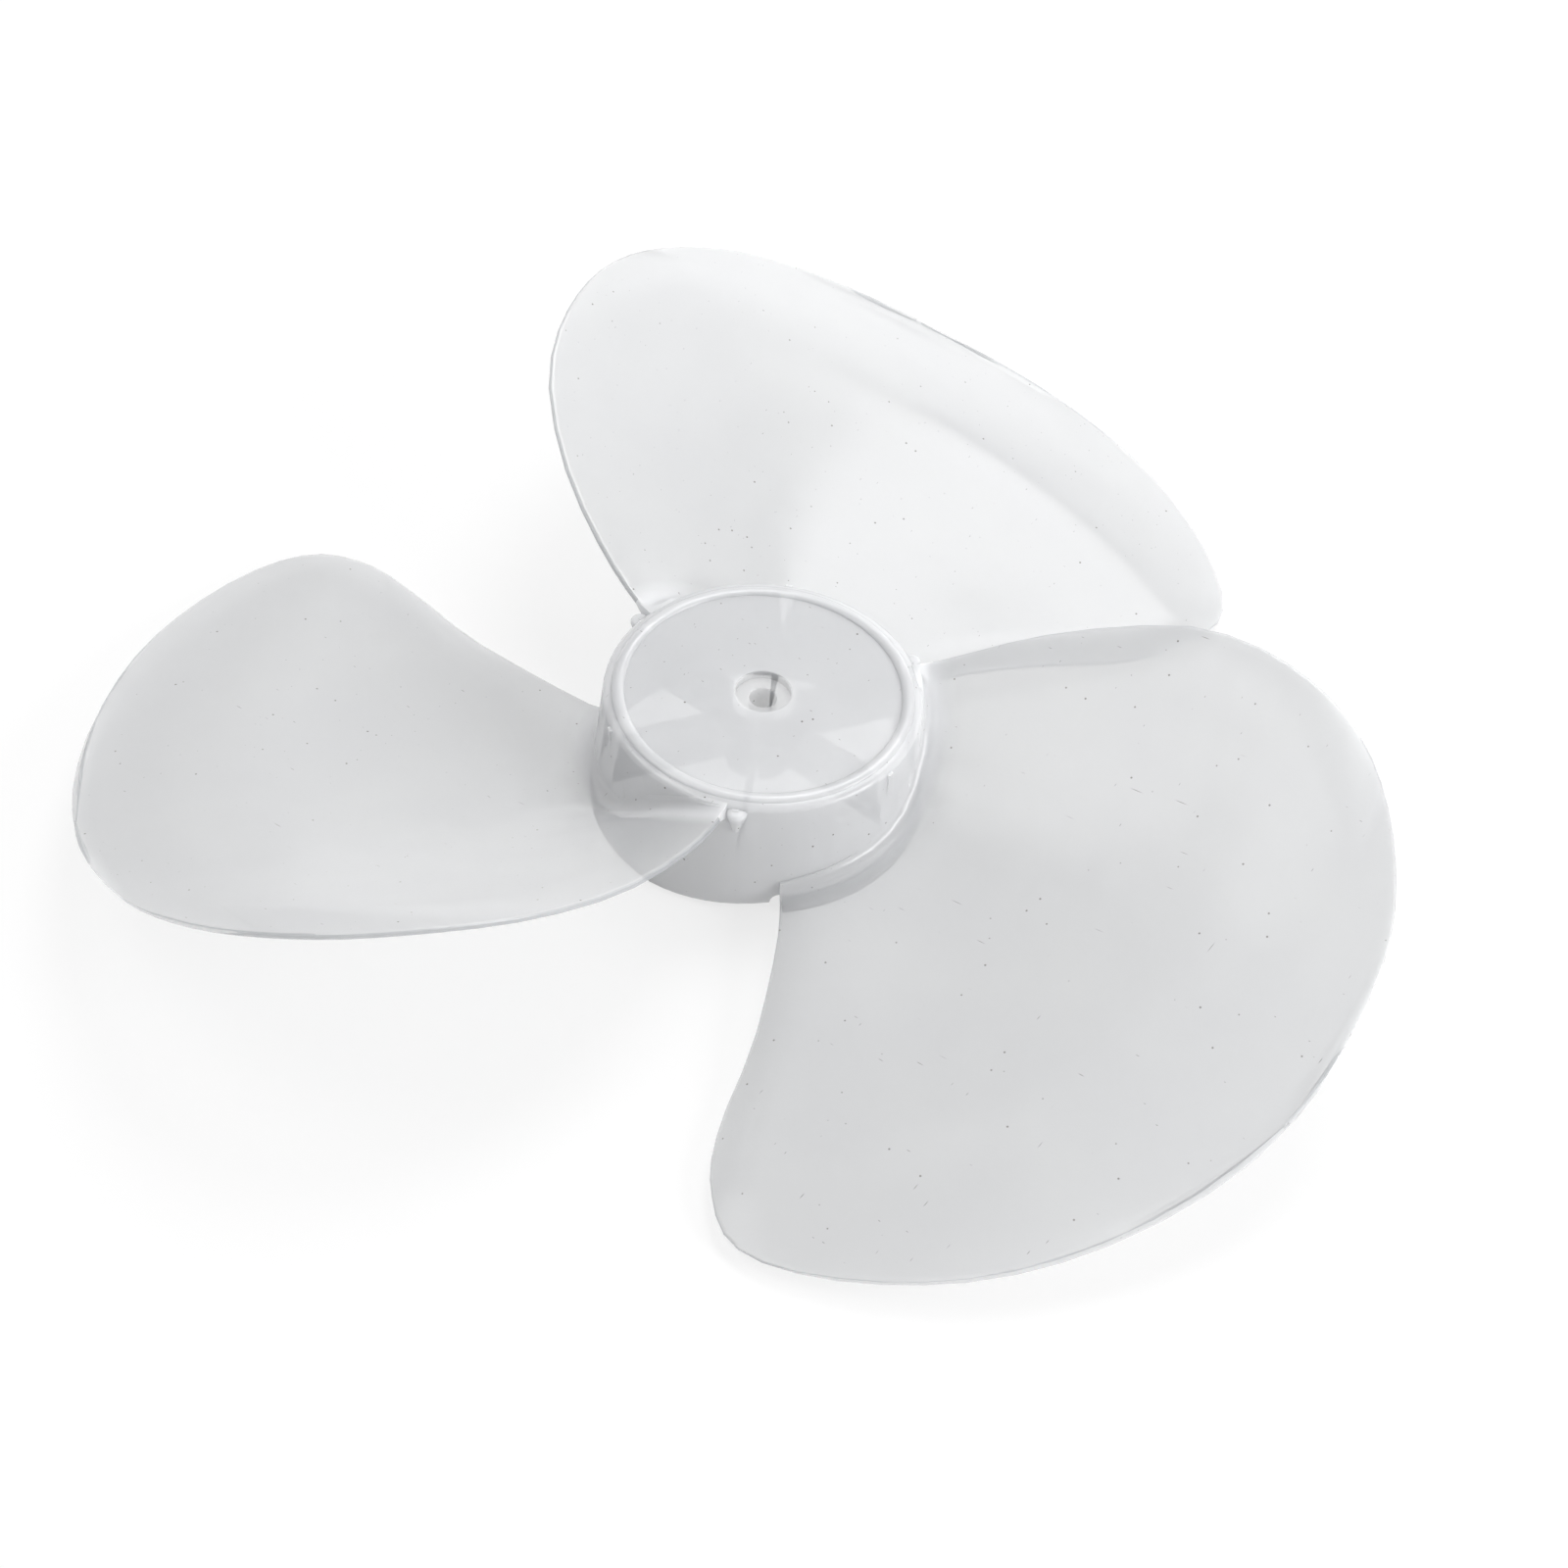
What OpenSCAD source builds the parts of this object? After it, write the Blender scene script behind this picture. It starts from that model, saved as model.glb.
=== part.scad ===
// Three-leaf fan blade for a pedestal or table fan, moulded in one piece.
// Millimetres, Z up. The origin is on the shaft axis, at the rear end of the shaft bore.
// The front face of the drum looks up. The lug of leaf 1 points along +X.

/* [Drum] */
// height of the drum, from its rear rim to the crest of the front bead
drum_h = 42; // [36:1:50]
// outside diameter of the drum wall at its rear rim
drum_base_d = 100.8; // [98:0.2:108]
// outside diameter of the drum wall below its front shoulder
drum_front_d = 94.2; // [92:0.2:98]
// thickness of the drum wall
wall_t = 2.2; // [1.6:0.1:3]
// outside diameter of the bead that runs round the front face
bead_d = 89.4; // [84:0.2:90]
// width of the front bead
bead_w = 3.9; // [2.4:0.1:5]
// height of the front bead above the face
bead_rise = 0.9; // [0.4:0.1:1.6]
// height of the rounded shoulder beside the bead
shoulder_h = 2.6; // [1.6:0.1:4]
// thickness of the front face
face_t = 2.2; // [1.6:0.1:3]
// length of the ramp cut into the rear rim before each leaf's low edge
relief_w = 36; // [20:1:40]
// height of the end of that ramp above the rear rim
relief_rise = 4.6; // [1:0.2:6]
// radius of the notch at the end of the ramp
notch_r = 2.8; // [1:0.1:4]
// distance that the notch runs on past the low edge
notch_past = 1.2; // [0:0.1:3]

/* [Boss] */
// outside diameter of the shaft boss
boss_d = 20.6; // [18.6:0.2:26]
// distance from the drum's rear rim in to the rear end of the boss
boss_inset = 14.1; // [9:0.1:18]
// diameter of the shaft bore
bore_d = 8.2; // [7:0.1:9]
// diameter of the nut seat in the front face
seat_d = 16.4; // [13:0.2:17]
// depth of the nut seat
seat_depth = 2.6; // [1.2:0.1:4]
// width of the drive pin slot in the rear end of the boss
slot_w = 3; // [2:0.1:3]
// depth of the drive pin slot
slot_depth = 5; // [3:0.5:8]

/* [Ribs] */
// number of ribs per leaf behind the front face
ribs_per_leaf = 2; // [1:1:3]
// thickness of each rib
rib_t = 1.8; // [1.2:0.1:2.6]
// depth of each rib below the face
rib_depth = 21; // [12:1:24]
// width of the pad where a rib meets the wall
pad_w = 4.6; // [3:0.1:6]
// length of that pad along the rib
pad_len = 5; // [3:0.5:8]
// depth of that pad below the face
pad_depth = 12; // [6:1:20]

/* [Lugs] */
// diameter of the rounded lug where a leaf's high edge meets the bead
lug_d = 6; // [4:0.1:8]
// distance that the lug stands out from the drum's front edge
lug_out = 3.3; // [2:0.1:5]
// depth of the lug's top below the crest of the bead
lug_drop = 2.2; // [1:0.1:4]
// height of the lug
lug_h = 7.5; // [4:0.5:12]
// angle of the lug's middle past the zero line of its leaf
lug_turn = 0.5; // [-2:0.5:4]

/* [Leaves] */
// number of leaves
leaves = 3; // [2:1:4]
// diameter swept by the leaf tips
sweep_d = 400; // [360:2:440]
// height of the highest point of the leaves above the rear rim
crest_h = 72.6; // [62:0.2:82]
// thickness of a leaf at its root
root_t = 2.4; // [1.6:0.1:3]
// thickness of a leaf at its rim
rim_t = 1.7; // [1.2:0.1:2.4]
// radius of the fillet between leaf and drum
fillet_r = 4.5; // [2:0.1:6]
// width of the turned lip along the low edge
lip_w = 8; // [5:0.5:12]
// distance that the lip turns down
lip_drop = 3.2; // [1:0.1:5]
// radius that rounds the rim of a leaf
edge_r = 1.2; // [0.8:0.1:1.6]

/* [Hidden] */
body_colour = "#eef0f3";
facets = 72;
lug_facets = 24;
// overrun for cuts
over = 0.5;

// Stations of both edges of a leaf, as shares of the way from the drum to the tip circle.
station_shares = [0, 0.1, 0.22, 0.36, 0.52, 0.68, 0.82, 0.93, 0.98, 1];
// Angles of the low edge at the stations, in degrees from the high edge's lug.
low_angles = [-103, -105, -108, -111, -114.5, -115, -111, -95.5, -81, -66];
// Angles of the high edge at the stations.
high_angles = [-3, -5.5, -8.5, -12.5, -18, -26, -34.5, -44.5, -53, -66];
// Heights of the low edge as shares of the crest height.
low_height_shares = [0.13, 0.135, 0.115, 0.08, 0.047, 0.066, 0.06, 0.132, 0.235, 0.392];
// Heights of the high edge as shares of the crest height.
high_height_shares = [0.54, 0.6, 0.7, 0.81, 0.94, 1, 0.96, 0.8, 0.631, 0.392];
// How a leaf rises across its chord, from the low edge to the high one: beside the drum, and further out.
root_rise_shares = [0, 0.02, 0.045, 0.08, 0.15, 0.36, 0.69, 0.88, 1];
span_rise_shares = [0, 0.065, 0.13, 0.22, 0.325, 0.46, 0.62, 0.81, 1];
// How much of the lip there is at the stations.
lip_shares = [0.3, 0.6, 0.9, 1, 1, 0.7, 0.15, 0, 0, 0];
// Rows of a leaf between the drum and the tip, closer at the fillet and where the outline turns.
row_steps = [0, 0.06, 0.14, 0.26, 0.45, 0.75, 1.15, 1.65, 2.2, 2.8, 3.35, 3.85, 4.25, 4.6, 4.9, 5.15, 5.4,
    5.65, 5.88, 6.1, 6.3, 6.5, 6.7, 6.9, 7.1, 7.35, 7.6, 7.85, 8.15, 8.4, 8.65, 8.85, 8.98];
// Columns across the middle of a leaf.
mid_columns = 10;

face_z = drum_h - bead_rise;
face_under = face_z - face_t;
base_r = drum_base_d / 2;
front_r = drum_front_d / 2;
bead_r = bead_d / 2;
bead_in_r = bead_r - bead_w;
shoulder_z = drum_h - shoulder_h;
tip_r = sweep_d / 2;
boss_len = face_z - boss_inset;
rib_count = leaves * ribs_per_leaf;
leaf_pitch = 360 / leaves;

// radius of the drum's outer wall at a height
function wall_r(z) = base_r + (front_r - base_r) * min(1, max(0, z / shoulder_z));

// straight blend and smooth curve through a list of values
function mix(a, b, t) = a + (b - a) * t;
function at(v, i) = v[max(0, min(len(v) - 1, i))];
function smooth4(a, b, c, d, t) =
    b + 0.5 * t * (c - a + t * (2 * a - 5 * b + 4 * c - d + t * (3 * (b - c) + d - a)));
function curve(v, s) =
    let (i = min(len(v) - 2, floor(s)), t = s - i)
    smooth4(at(v, i - 1), at(v, i), at(v, i + 1), at(v, i + 2), t);

// Both edges of a leaf are one smooth line through the tip, as radius, angle and height.
last = len(station_shares) - 1;
function joined(a, b) = concat(a, [for (i = [last - 1:-1:0]) b[i]]);
edge_radii = joined(
    [for (k = station_shares) mix(base_r, tip_r, k)],
    [for (k = station_shares) mix(front_r, tip_r, k)]);
edge_angles = joined(low_angles, high_angles);
edge_heights = crest_h * joined(low_height_shares, high_height_shares);
function edge(s) = [curve(edge_radii, s), curve(edge_angles, s), curve(edge_heights, s)];
function low_edge(s) = edge(s);
function high_edge(s) = edge(2 * last - s);
function to_xyz(c) = [c[0] * cos(c[1]), c[0] * sin(c[1]), c[2]];
function chord(s) = norm(to_xyz(high_edge(s)) - to_xyz(low_edge(s)));

// mid surface of a leaf, s from drum to tip and u from the low edge to the high one
function rise(s, u) =
    let (k = pow(max(0, 1 - s / 4), 1.5), x = u * (len(root_rise_shares) - 1))
    mix(curve(span_rise_shares, x), curve(root_rise_shares, x), k);
function lip_fade(u, c) = pow(max(0, 1 - u * c / lip_w), 1.5);
function mid(s, u) =
    let (a = low_edge(s), b = high_edge(s), c = chord(s), lip = lip_drop * curve(lip_shares, s))
    let (z = mix(a[2] + lip, b[2], rise(s, u)) - lip * lip_fade(u, c))
    to_xyz([mix(a[0], b[0], u), mix(a[1], b[1], u), z]);
function unit(v) = v / norm(v);
function leaf_normal(s, u) =
    let (s0 = max(0.02, min(s, last - 0.4)), u0 = max(0.02, min(u, 0.98)))
    unit(cross(mid(s0 + 0.02, u0) - mid(s0 - 0.02, u0), mid(s0, u0 + 0.02) - mid(s0, u0 - 0.02)));

// rounded rim, root fillet and thickness
function rim_round(d) = 0.5 + 0.5 * sqrt(1 - pow(1 - min(1, d / edge_r), 2));
function root_fillet(d, r) = r - sqrt(r * r - pow(r - min(r, max(0, d)), 2));
function half_t(s, u) =
    let (p = mid(s, u), c = chord(s), out = norm([p[0], p[1]]) - wall_r(p[2]))
    let (d = min(c * min(u, 1 - u), (tip_r - norm([p[0], p[1]])) * 2 + edge_r * c / tip_r))
    let (t = mix(root_t, rim_t, min(1, s / 4)) / 2)
    t * (out < fillet_r ? 1 : rim_round(d));
function fillet_at(s, u) =
    let (p = mid(s, u), out = norm([p[0], p[1]]) - wall_r(p[2]))
    root_fillet(out, fillet_r);

// columns across a leaf, with close ones at both rims and over the lip
function columns(s) =
    let (c = chord(s), a = min(1.6 * lip_w / c, 0.2), b = 1 - min(edge_r / c, 0.05))
    concat(
        [0, min(0.3 * edge_r / c, 0.02), min(edge_r / c, 0.05)],
        [min(0.45 * lip_w / c, 0.09), min(lip_w / c, 0.14)],
        [for (i = [0:mid_columns - 1]) mix(a, b, i / (mid_columns - 1))],
        [1 - min(0.3 * edge_r / c, 0.02), 1]);

// The root's first row lies in the middle of the wall, so that leaf and drum are one solid.
function sink(p) =
    let (r = norm([p[0], p[1]]), k = (wall_r(p[2]) - wall_t / 2) / r)
    [p[0] * k, p[1] * k, p[2]];
function leaf_point(s, u, side) =
    let (p = mid(s, u), n = leaf_normal(s, u), f = fillet_at(s, u))
    let (top = max(0, min(f, drum_h - bead_rise - p[2] - root_t / 2)))
    p + n * side * half_t(s, u) + [0, 0, side * (side > 0 ? top : min(f, max(0, p[2] - root_t)))];
function leaf_rows(side) =
    concat(
        [[for (u = columns(0)) sink(leaf_point(0, u, side))]],
        [for (s = row_steps) [for (u = columns(s)) leaf_point(s, u, side)]]);

function strip(a, b) = [[a[0], b[1], b[0]], [a[0], a[1], b[1]]];
module leaf() {
    up = leaf_rows(1);
    down = leaf_rows(-1);
    rows = len(up);
    cols = len(up[0]);
    pts = concat([for (r = up) for (p = r) p], [for (r = down) for (p = r) p]);
    n = rows * cols;
    tops = [for (i = [0:rows - 2]) for (j = [0:cols - 2])
        let (a = i * cols + j) for (f = strip([a, a + 1], [a + cols, a + cols + 1])) f];
    unders = [for (i = [0:rows - 2]) for (j = [0:cols - 2])
        let (a = n + i * cols + j) for (f = strip([a + 1, a], [a + cols + 1, a + cols])) f];
    lows = [for (i = [0:rows - 2]) let (a = i * cols)
        for (f = strip([a + n, a], [a + n + cols, a + cols])) f];
    highs = [for (i = [0:rows - 2]) let (a = i * cols + cols - 1)
        for (f = strip([a, a + n], [a + cols, a + n + cols])) f];
    roots = [for (j = [0:cols - 2]) for (f = strip([j + n, j + n + 1], [j, j + 1])) f];
    tips = [for (j = [0:cols - 2]) let (a = (rows - 1) * cols + j)
        for (f = strip([a, a + 1], [a + n, a + n + 1])) f];
    polyhedron(points = pts, faces = concat(tops, unders, lows, highs, roots, tips));
}

// section of the drum: wall, rounded shoulder, bead and front face
module drum() {
    arc = [0, 22.5, 45, 67.5, 90];
    bead_mid = bead_r - bead_w / 2;
    rotate_extrude($fn = facets)
        polygon(concat(
            [[base_r - wall_t, 0], [base_r, 0]],
            [for (a = arc) [mix(bead_r, front_r, cos(a)), mix(shoulder_z, face_z, sin(a))]],
            [for (a = [22.5:22.5:157.5]) [bead_mid + bead_w / 2 * cos(a), face_z + bead_rise * sin(a)]],
            [[bead_in_r, face_z], [0, face_z], [0, face_under], [wall_r(face_under) - wall_t, face_under]]));
}

module ribs() {
    for (i = [0:rib_count - 1])
        rotate([0, 0, i * 360 / rib_count]) {
            translate([0, -rib_t / 2, face_under - rib_depth])
                cube([wall_r(face_under - rib_depth) - wall_t / 2, rib_t, rib_depth + face_t / 2]);
            translate([wall_r(face_under) - wall_t - pad_len, -pad_w / 2, face_under - pad_depth])
                cube([pad_len + wall_t / 2, pad_w, pad_depth + face_t / 2]);
        }
}

module lug() {
    round_shares = [0, 0.2, 0.4, 0.6, 0.8, 1];
    rotate([0, 0, lug_turn])
        translate([front_r + lug_out - lug_d / 2, 0, drum_h - lug_drop - lug_h])
            rotate_extrude($fn = lug_facets)
                polygon(concat(
                    [[0, 0], [lug_d * 0.2, 0]],
                    [for (k = round_shares) let (a = 90 * k)
                        [lug_d * (0.3 + 0.2 * cos(a)), lug_h - lug_d * 0.2 * (1 - sin(a))]],
                    [[0, lug_h]]));
}

module boss_cuts() {
    translate([0, 0, boss_inset - over])
        cylinder(d = bore_d, h = boss_len + over * 2, $fn = facets);
    translate([0, 0, face_z - seat_depth])
        cylinder(d = seat_d, h = seat_depth + over, $fn = facets);
    rotate([0, 0, leaf_pitch / 2])
        translate([-boss_d / 2 - over, -slot_w / 2, boss_inset - over])
            cube([boss_d + over * 2, slot_w, slot_depth + over]);
}

// A long ramp rises to the leaf's low edge and ends in a round notch beside it.
module rim_relief() {
    notch_arc = [180:-22.5:90];
    rotate([0, 0, low_angles[0]])
        translate([base_r / 2, 0, 0])
            rotate([90, 0, 90])
                linear_extrude(height = base_r / 2 + over)
                    polygon(concat(
                        [[-relief_w, -over], [-relief_w, 0]],
                        [for (a = notch_arc) [notch_r * cos(a), relief_rise + notch_r * sin(a)]],
                        [[notch_past, relief_rise + notch_r], [notch_past, -over]]));
}

// the whole blade, lowered so that the rear end of the bore is at the origin
module fan_blade() {
    color(body_colour)
        translate([0, 0, -boss_inset])
            difference() {
                union() {
                    drum();
                    ribs();
                    translate([0, 0, boss_inset])
                        cylinder(d = boss_d, h = boss_len - face_t / 2, $fn = facets);
                    for (k = [0:leaves - 1])
                        rotate([0, 0, k * leaf_pitch]) {
                            lug();
                            leaf();
                        }
                }
                boss_cuts();
                for (k = [0:leaves - 1])
                    rotate([0, 0, k * leaf_pitch])
                        rim_relief();
            }
}

fan_blade();
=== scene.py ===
import math

import bpy
import bmesh
from mathutils import Matrix, Vector


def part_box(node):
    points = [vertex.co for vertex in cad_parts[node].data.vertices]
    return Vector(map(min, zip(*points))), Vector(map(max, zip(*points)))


# Fan blade, one moulding of milky polypropylene. Metres, Z up.
# The origin is on the shaft axis at the rear end of the bore; +X points through the lug of leaf 1.

MM = 0.001

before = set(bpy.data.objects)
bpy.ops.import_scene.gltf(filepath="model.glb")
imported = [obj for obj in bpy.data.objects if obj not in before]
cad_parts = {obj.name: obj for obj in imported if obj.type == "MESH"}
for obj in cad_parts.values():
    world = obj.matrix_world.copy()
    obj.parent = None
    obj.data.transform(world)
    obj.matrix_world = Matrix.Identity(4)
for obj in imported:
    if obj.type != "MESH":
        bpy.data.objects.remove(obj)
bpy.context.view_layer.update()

# Sizes of the blade that the stage and the patterns use
LOWEST_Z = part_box("fan_blade")[0][2]
SEAT_R = 8.2 * MM
DRUM_R = 50.4 * MM

# Camera, at the photograph's viewing angle
CAMERA_AT = Vector((-251.1, -576.1, 657.9)) * MM
CAMERA_LOOKS = Vector((0.2817, 0.6236, -0.7292))
CAMERA_UP = Vector((0.2207, 0.6975, 0.6817))
LENS_MM = 69.73
SENSOR_MM = 36.0

# Smooth shading, across edges flatter than a moulded corner
CORNER_ANGLE = math.radians(35)
WELD_GAP = 0.002 * MM

# The rim of a leaf: its sharper edges, clear of its root
RIM_ANGLE = math.radians(28)
RIM_FROM_R = DRUM_R + 2 * MM

# The share of the light that the skin stops, which is largest in the drum's thick wall
LEAF_MILK = 0.67
DRUM_MILK = 0.86
BORE_MILK = 0.5
RIM_MILK = 0.8

# Where one share of milk passes into the next, and how far light goes inside the wall
LEAF_FROM_R = DRUM_R + 8 * MM
BORE_TO_R = SEAT_R + 0.1 * MM
FACE_FROM_R = SEAT_R + 0.5 * MM
SCATTER_WAY = 4 * MM

# Marks of the moulding
FLOW_SIZE = 45 * MM
GRAIN_SIZE = 0.9 * MM
GRAIN_DEPTH = 0.02 * MM
WAVE_SIZE = 16 * MM
WAVE_DEPTH = 0.3 * MM
BUMP_STRENGTH = 0.5
GLOSSY_ROUGH = 0.18
DULL_ROUGH = 0.24

# Marks of use
SPECK_GAP = 6.5 * MM
SPECK_R = 0.42 * MM
SPECK_CORE_SHARE = 0.5
SCRATCH_GAP = 2.4 * MM
SCRATCH_R = 0.13 * MM
SCRATCH_CORE_SHARE = 0.3
SCRATCH_STRETCH = 22
SCRATCH_TURNS = ((0.2, -0.3, 0.5), (-0.3, 0.2, 2.1))
SCRATCH_ROUGH = 0.6

# Sockets of a Mix node that mixes colours, by number, as other sockets of the node have the same names
COLOUR_A = 6
COLOUR_B = 7
COLOUR_RESULT = 2

# Ground and light
GROUND_HALF_WIDTH = 6.0
GROUND_GAP = 0.2 * MM
GROUND_GLOW = 0.68
WORLD_LEVEL = 0.4
SOFTBOX_SIZE = 1.0
SOFTBOX_AWAY = 1.9


def srgb(hex_colour):
    """A hex sRGB colour as the linear values that Blender takes."""
    parts = [int(hex_colour[i:i + 2], 16) / 255 for i in (1, 3, 5)]
    return tuple(p / 12.92 if p <= 0.04045 else ((p + 0.055) / 1.055) ** 2.4 for p in parts) + (1.0,)


def add_node(tree, kind, settings=None, inputs=None, links=None):
    """One node with its settings, socket values and links from other nodes' sockets."""
    node = tree.nodes.new(kind)
    for name, value in (settings or {}).items():
        setattr(node, name, value)
    for name, value in (inputs or {}).items():
        node.inputs[name].default_value = value
    for name, source in (links or {}).items():
        tree.links.new(source, node.inputs[name])
    return node


def new_material(name):
    material = bpy.data.materials.new(name)
    material.use_nodes = True
    material.node_tree.nodes.clear()
    return material


def distance_from_axis(tree, place):
    """How far a place lies from the shaft's axis."""
    aside = add_node(
        tree, "ShaderNodeVectorMath", {"operation": "MULTIPLY"}, {1: (1, 1, 0)}, {0: place}).outputs["Vector"]
    return add_node(tree, "ShaderNodeVectorMath", {"operation": "LENGTH"}, None, {0: aside}).outputs["Value"]


def milky_polypropylene():
    """Injection moulded polypropylene: milky and half see-through, so light and shapes pass through it.

    The eye gets slow flow marks, a fine grain, dust specks set in the skin and short scratches. Grain, specks
    and scratches are drawn a little coarser than the real ones, so that they show.
    """
    material = new_material("polypropylene_milky")
    tree = material.node_tree
    place = add_node(tree, "ShaderNodeTexCoord").outputs["Object"]

    # flow marks: the milk lies a little thicker in some places
    flow = add_node(
        tree, "ShaderNodeTexNoise", None, {"Scale": 1 / FLOW_SIZE, "Detail": 2.0, "Roughness": 0.55},
        {"Vector": place}).outputs["Fac"]
    tint = add_node(tree, "ShaderNodeValToRGB", None, None, {"Fac": flow})
    tint.color_ramp.elements[0].position = 0.2
    tint.color_ramp.elements[0].color = srgb("#bebfc1")
    tint.color_ramp.elements[1].position = 0.8
    tint.color_ramp.elements[1].color = srgb("#c2c3c4")

    # dust specks: one small ball in each cell, seen where it meets the skin
    cells = add_node(
        tree, "ShaderNodeTexVoronoi", {"feature": "F1"}, {"Scale": 1 / SPECK_GAP}, {"Vector": place})
    specks = add_node(
        tree, "ShaderNodeMapRange", {"interpolation_type": "SMOOTHSTEP"},
        {"From Min": SPECK_R / SPECK_GAP, "From Max": SPECK_CORE_SHARE * SPECK_R / SPECK_GAP},
        {"Value": cells.outputs["Distance"]}).outputs["Result"]

    # scratches: the same with long thin shapes, in two directions
    scratches = []
    for turn in SCRATCH_TURNS:
        drawn_out = add_node(
            tree, "ShaderNodeMapping", {"vector_type": "TEXTURE"},
            {"Rotation": turn, "Scale": (SCRATCH_STRETCH, 1, 1)}, {"Vector": place})
        thin = add_node(
            tree, "ShaderNodeTexVoronoi", {"feature": "F1"}, {"Scale": 1 / SCRATCH_GAP},
            {"Vector": drawn_out.outputs["Vector"]})
        scratches.append(add_node(
            tree, "ShaderNodeMapRange", {"interpolation_type": "SMOOTHSTEP"},
            {"From Min": SCRATCH_R / SCRATCH_GAP, "From Max": SCRATCH_CORE_SHARE * SCRATCH_R / SCRATCH_GAP},
            {"Value": thin.outputs["Distance"]}).outputs["Result"])
    scratched = add_node(
        tree, "ShaderNodeMath", {"operation": "MAXIMUM"}, None, {0: scratches[0], 1: scratches[1]}).outputs[0]

    # painted light: the drum's colour is lighter than the leaves', standing in for the light that fills the
    # hub; its thicker wall also holds more milk
    off_axis = distance_from_axis(tree, place)
    on_drum = add_node(
        tree, "ShaderNodeMapRange", {"interpolation_type": "SMOOTHSTEP"},
        {"From Min": LEAF_FROM_R, "From Max": DRUM_R}, {"Value": off_axis}).outputs["Result"]
    tone_with_lit_drum = add_node(
        tree, "ShaderNodeMix", {"data_type": "RGBA"}, {COLOUR_B: srgb("#d2d3d5")},
        {"Factor": on_drum, COLOUR_A: tint.outputs["Color"]}).outputs[COLOUR_RESULT]

    # the rim of a leaf bends light away; a fine dark line of painted shade along it stands in for that
    rim = add_node(
        tree, "ShaderNodeAttribute", {"attribute_type": "GEOMETRY", "attribute_name": "rim"}).outputs["Fac"]
    tone_with_rim_shade = add_node(
        tree, "ShaderNodeMix", {"data_type": "RGBA"}, {COLOUR_B: srgb("#a8aaac")},
        {"Factor": rim, COLOUR_A: tone_with_lit_drum}).outputs[COLOUR_RESULT]

    # specks and the dirt in the scratches darken the milk
    soiled = add_node(
        tree, "ShaderNodeMath", {"operation": "MAXIMUM"}, None, {0: specks, 1: scratched}).outputs[0]
    colour = add_node(
        tree, "ShaderNodeMix", {"data_type": "RGBA"}, {COLOUR_B: srgb("#66625e")},
        {"Factor": soiled, COLOUR_A: tone_with_rim_shade}).outputs[COLOUR_RESULT]

    # slow waves of the cooled skin, and on them the grain of the mould
    waves = add_node(
        tree, "ShaderNodeTexNoise", None, {"Scale": 1 / WAVE_SIZE, "Detail": 0.0},
        {"Vector": place}).outputs["Fac"]
    wavy = add_node(
        tree, "ShaderNodeBump", None, {"Strength": BUMP_STRENGTH, "Distance": WAVE_DEPTH},
        {"Height": waves}).outputs["Normal"]
    grain = add_node(
        tree, "ShaderNodeTexNoise", None, {"Scale": 1 / GRAIN_SIZE, "Detail": 0.0},
        {"Vector": place}).outputs["Fac"]
    grainy = add_node(
        tree, "ShaderNodeBump", None, {"Strength": BUMP_STRENGTH, "Distance": GRAIN_DEPTH},
        {"Height": grain, "Normal": wavy}).outputs["Normal"]

    # handled skin: a little duller where the milk lies thick, and rough in specks and scratches
    dull = add_node(
        tree, "ShaderNodeMapRange", None,
        {"From Min": 0.3, "From Max": 0.7, "To Min": GLOSSY_ROUGH, "To Max": DULL_ROUGH},
        {"Value": flow}).outputs["Result"]
    rough = add_node(
        tree, "ShaderNodeMix", {"data_type": "FLOAT"}, {"B": SCRATCH_ROUGH},
        {"Factor": soiled, "A": dull}).outputs["Result"]

    # how much of the light the skin stops; the walls of seat and bore are clearer than the face
    skin = add_node(
        tree, "ShaderNodeMapRange", None, {"To Min": LEAF_MILK, "To Max": DRUM_MILK},
        {"Value": on_drum}).outputs["Result"]
    milk = add_node(
        tree, "ShaderNodeMapRange", None,
        {"From Min": BORE_TO_R, "From Max": FACE_FROM_R, "To Min": BORE_MILK},
        {"Value": off_axis, "To Max": skin}).outputs["Result"]
    milk = add_node(
        tree, "ShaderNodeMix", {"data_type": "FLOAT"}, {"B": RIM_MILK},
        {"Factor": rim, "A": milk}).outputs["Result"]

    plastic = add_node(
        tree, "ShaderNodeBsdfPrincipled", None,
        {"IOR": 1.49, "Subsurface Weight": 1.0,
         "Subsurface Radius": (1.0, 1.0, 1.0), "Subsurface Scale": SCATTER_WAY},
        {"Base Color": colour, "Roughness": rough, "Alpha": milk, "Normal": grainy})

    # rays towards lamps only need to know how much light the wall lets through
    path = add_node(tree, "ShaderNodeLightPath")
    passed = add_node(
        tree, "ShaderNodeMath", {"operation": "SUBTRACT", "use_clamp": True}, {0: 1.0}, {1: milk}).outputs[0]
    shade = add_node(tree, "ShaderNodeBsdfTransparent", None, None, {"Color": passed})
    way_in = add_node(
        tree, "ShaderNodeMixShader", None, None,
        {0: path.outputs["Is Shadow Ray"], 1: plastic.outputs["BSDF"], 2: shade.outputs["BSDF"]})

    # light that has come into the wall leaves it freely at the far side
    side = add_node(tree, "ShaderNodeNewGeometry")
    way_out = add_node(tree, "ShaderNodeBsdfTransparent")
    wall = add_node(
        tree, "ShaderNodeMixShader", None, None,
        {0: side.outputs["Backfacing"], 1: way_in.outputs["Shader"], 2: way_out.outputs["BSDF"]})
    add_node(tree, "ShaderNodeOutputMaterial", None, None, {"Surface": wall.outputs["Shader"]})
    return material


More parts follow.
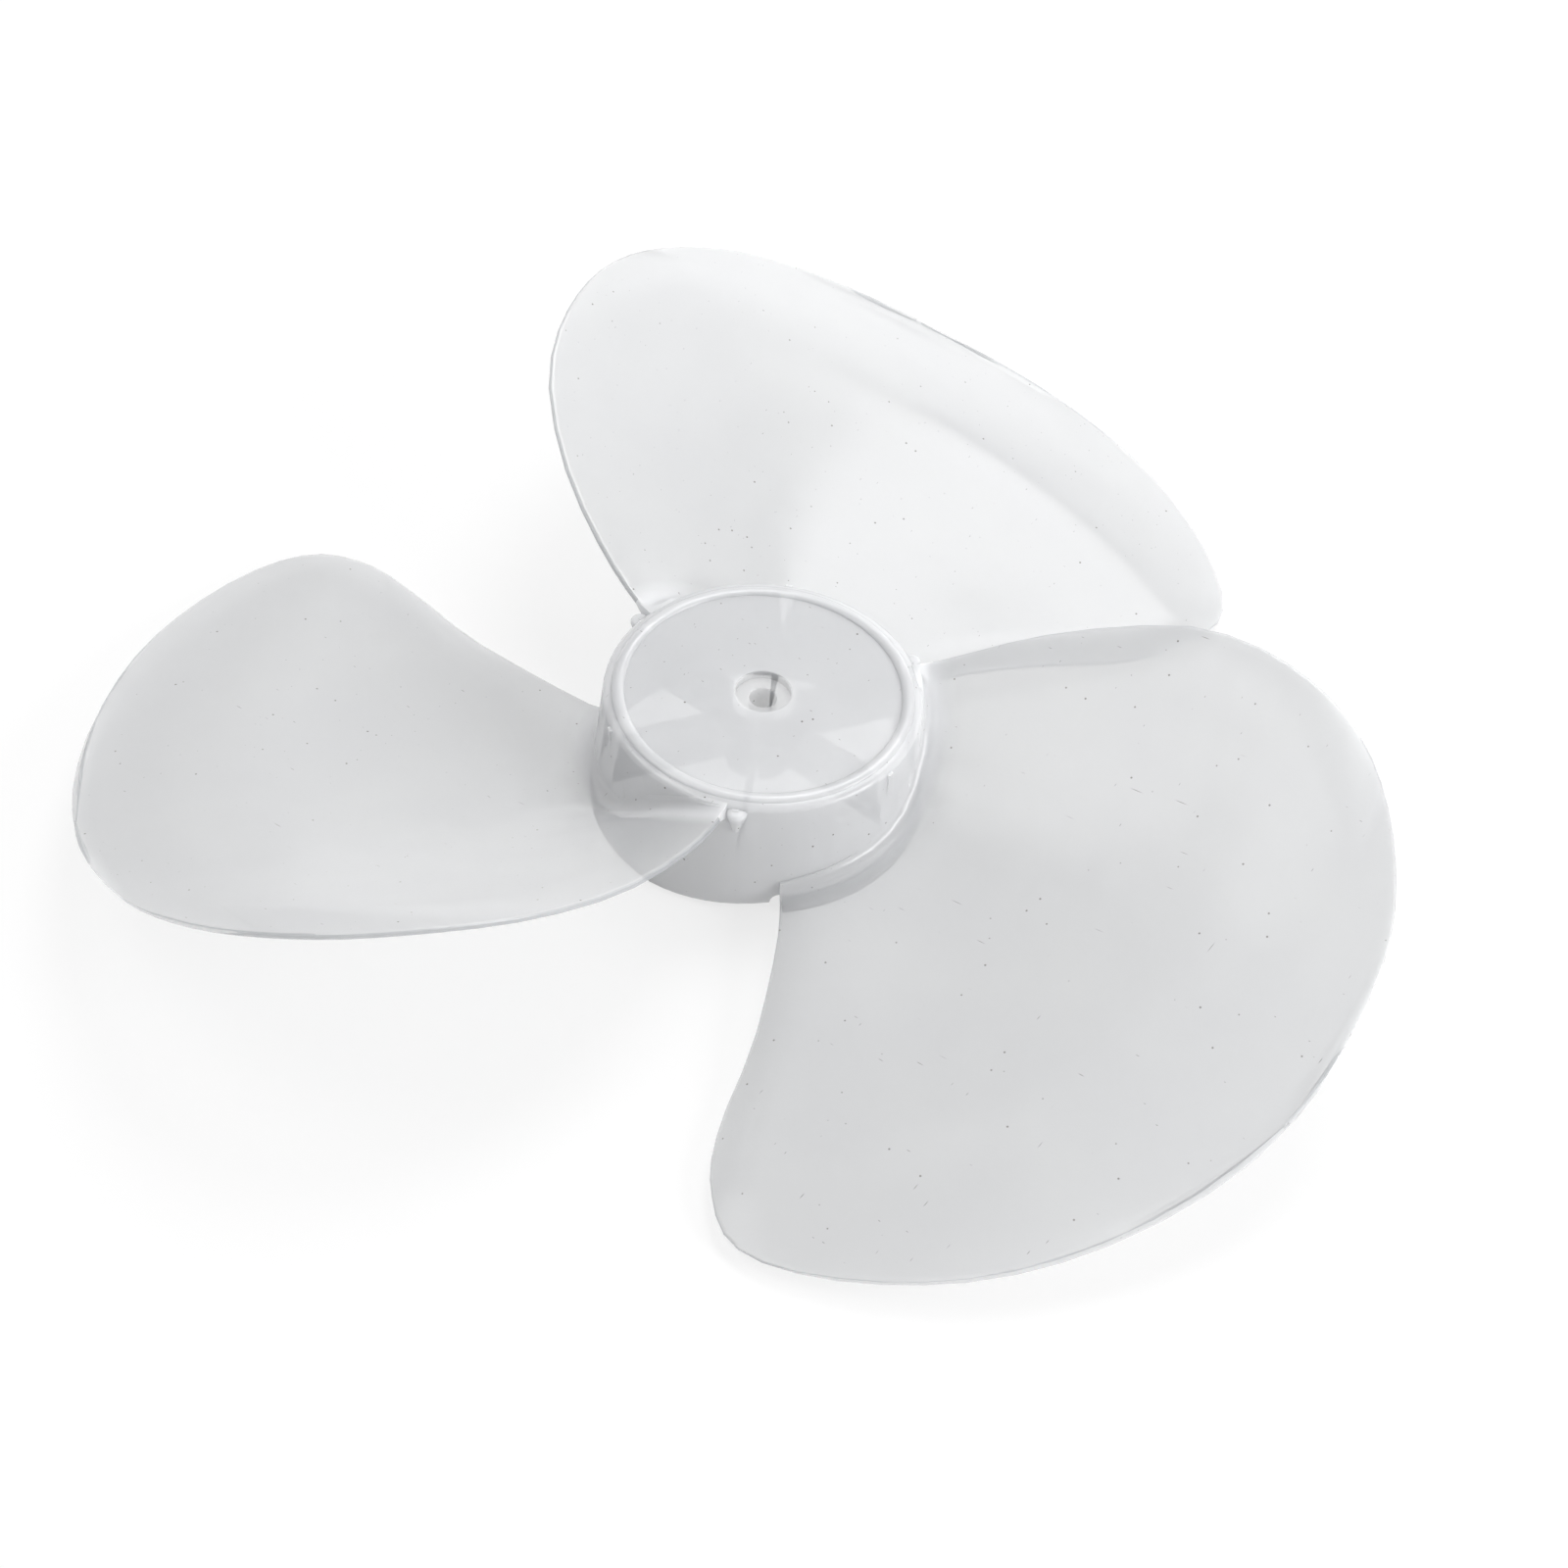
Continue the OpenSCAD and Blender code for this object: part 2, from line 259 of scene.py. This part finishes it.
def smooth_by_angle():
    """Modifier tree that shades a mesh smooth across every edge flatter than a moulded corner.

    It also marks the rim of each leaf for the material.
    """
    tree = bpy.data.node_groups.new("smooth_by_angle", "GeometryNodeTree")
    tree.interface.new_socket("Geometry", in_out="INPUT", socket_type="NodeSocketGeometry")
    tree.interface.new_socket("Geometry", in_out="OUTPUT", socket_type="NodeSocketGeometry")
    source = add_node(tree, "NodeGroupInput")
    angle = add_node(tree, "GeometryNodeInputMeshEdgeAngle").outputs["Unsigned Angle"]
    flat = add_node(
        tree, "FunctionNodeCompare", {"data_type": "FLOAT", "operation": "LESS_THAN"}, {"B": CORNER_ANGLE},
        {"A": angle})
    faces = add_node(
        tree, "GeometryNodeSetShadeSmooth", {"domain": "FACE"}, {"Shade Smooth": True},
        {"Geometry": source.outputs["Geometry"]})
    edges = add_node(
        tree, "GeometryNodeSetShadeSmooth", {"domain": "EDGE"}, None,
        {"Geometry": faces.outputs["Geometry"], "Shade Smooth": flat.outputs["Result"]})
    marked = add_node(
        tree, "FunctionNodeCompare", {"data_type": "FLOAT", "operation": "GREATER_THAN"}, {"B": RIM_ANGLE},
        {"A": angle}).outputs["Result"]
    # a sharp edge marks its points, and a face is marked where all its points are
    for part in ("EDGE", "POINT", "FACE"):
        marked = add_node(
            tree, "GeometryNodeFieldOnDomain", {"data_type": "BOOLEAN", "domain": part}, None,
            {"Value": marked}).outputs["Value"]
    place = add_node(tree, "GeometryNodeInputPosition").outputs["Position"]
    on_leaf = add_node(
        tree, "ShaderNodeMath", {"operation": "GREATER_THAN"}, {1: RIM_FROM_R},
        {0: distance_from_axis(tree, place)}).outputs[0]
    rim = add_node(
        tree, "ShaderNodeMath", {"operation": "MULTIPLY"}, None, {0: marked, 1: on_leaf}).outputs[0]
    stored = add_node(
        tree, "GeometryNodeStoreNamedAttribute", {"data_type": "FLOAT", "domain": "FACE"}, {"Name": "rim"},
        {"Geometry": edges.outputs["Geometry"], "Value": rim})
    add_node(tree, "NodeGroupOutput", None, None, {"Geometry": stored.outputs["Geometry"]})
    return tree


def smooth_moulding(piece):
    """The blade's triangles are joined at their corners and shaded smooth; its shape stays as it is."""
    weld = piece.modifiers.new("weld", "WELD")
    weld.merge_threshold = WELD_GAP
    shade = piece.modifiers.new("shade", "NODES")
    shade.node_group = smooth_by_angle()


def seen_directly(tree):
    """1 for what the camera sees, straight or through the plastic, and 0 for light that falls on things."""
    path = add_node(tree, "ShaderNodeLightPath")
    return add_node(
        tree, "ShaderNodeMath", {"operation": "MAXIMUM"}, None,
        {0: path.outputs["Is Camera Ray"], 1: path.outputs["Is Transmission Ray"]}).outputs[0]


def white_ground():
    """Pale studio paper: white to the camera, with the soft shadow that falls on it."""
    material = new_material("studio_paper_white")
    tree = material.node_tree
    seen = seen_directly(tree)
    glow = add_node(tree, "ShaderNodeEmission", None, {"Color": srgb("#ffffff")}, {"Strength": seen})
    paper = add_node(tree, "ShaderNodeBsdfDiffuse", None, {"Color": srgb("#fafafa")})
    share = add_node(tree, "ShaderNodeMath", {"operation": "MULTIPLY"}, {1: GROUND_GLOW}, {0: seen})
    both = add_node(
        tree, "ShaderNodeMixShader", None, None,
        {0: share.outputs[0], 1: paper.outputs["BSDF"], 2: glow.outputs["Emission"]})
    add_node(tree, "ShaderNodeOutputMaterial", None, None, {"Surface": both.outputs["Shader"]})
    return material


def make_ground():
    """The sheet of paper that the blade lies on."""
    mesh = bpy.data.meshes.new("ground")
    bm = bmesh.new()
    bmesh.ops.create_grid(bm, x_segments=1, y_segments=1, size=GROUND_HALF_WIDTH)
    bmesh.ops.translate(bm, verts=bm.verts, vec=(0, 0, LOWEST_Z - GROUND_GAP))
    bm.to_mesh(mesh)
    bm.free()
    ground = bpy.data.objects.new("ground", mesh)
    ground.data.materials.append(white_ground())
    bpy.context.scene.collection.objects.link(ground)


def light_world():
    """White surroundings, which light the blade at a lower level than the one they are seen at."""
    world = bpy.data.worlds.new("studio")
    world.use_nodes = True
    tree = world.node_tree
    tree.nodes.clear()
    level = add_node(
        tree, "ShaderNodeMapRange", None, {"To Min": WORLD_LEVEL, "To Max": 1.0},
        {"Value": seen_directly(tree)})
    light = add_node(
        tree, "ShaderNodeBackground", None, {"Color": srgb("#ffffff")}, {"Strength": level.outputs["Result"]})
    add_node(tree, "ShaderNodeOutputWorld", None, None, {"Surface": light.outputs["Background"]})
    bpy.context.scene.world = world


def add_softbox(name, turn, height, watts):
    """A round softbox, placed by its compass turn and its height above the ground in degrees."""
    lamp = bpy.data.lights.new(name, "AREA")
    lamp.shape = "DISK"
    lamp.size = SOFTBOX_SIZE
    lamp.energy = watts
    holder = bpy.data.objects.new(name, lamp)
    turn, height = math.radians(turn), math.radians(height)
    at = SOFTBOX_AWAY * Vector(
        (math.cos(height) * math.cos(turn), math.cos(height) * math.sin(turn), math.sin(height)))
    holder.matrix_world = Matrix.Translation(at) @ (-at).to_track_quat("-Z", "Y").to_matrix().to_4x4()
    bpy.context.scene.collection.objects.link(holder)


def add_camera():
    """The camera that was fitted to the photograph."""
    data = bpy.data.cameras.new("camera")
    data.sensor_fit = "HORIZONTAL"
    data.sensor_width = SENSOR_MM
    data.lens = LENS_MM
    data.clip_start = 0.01
    data.clip_end = 50
    camera = bpy.data.objects.new("camera", data)
    back = -CAMERA_LOOKS.normalized()
    right = CAMERA_UP.cross(back).normalized()
    up = back.cross(right)
    turn = Matrix((right, up, back)).transposed().to_4x4()
    camera.matrix_world = Matrix.Translation(CAMERA_AT) @ turn
    bpy.context.scene.collection.objects.link(camera)
    bpy.context.scene.camera = camera


add_camera()

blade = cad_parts["fan_blade"]
blade.data.materials.clear()
blade.data.materials.append(milky_polypropylene())
smooth_moulding(blade)

make_ground()
light_world()
add_softbox("softbox_above", turn=45, height=60, watts=15.6)
add_softbox("softbox_left", turn=150, height=60, watts=6.7)
add_softbox("softbox_right", turn=315, height=25, watts=23.2)
add_softbox("softbox_behind", turn=45, height=25, watts=4.1)
bpy.context.scene.view_settings.view_transform = "Standard"
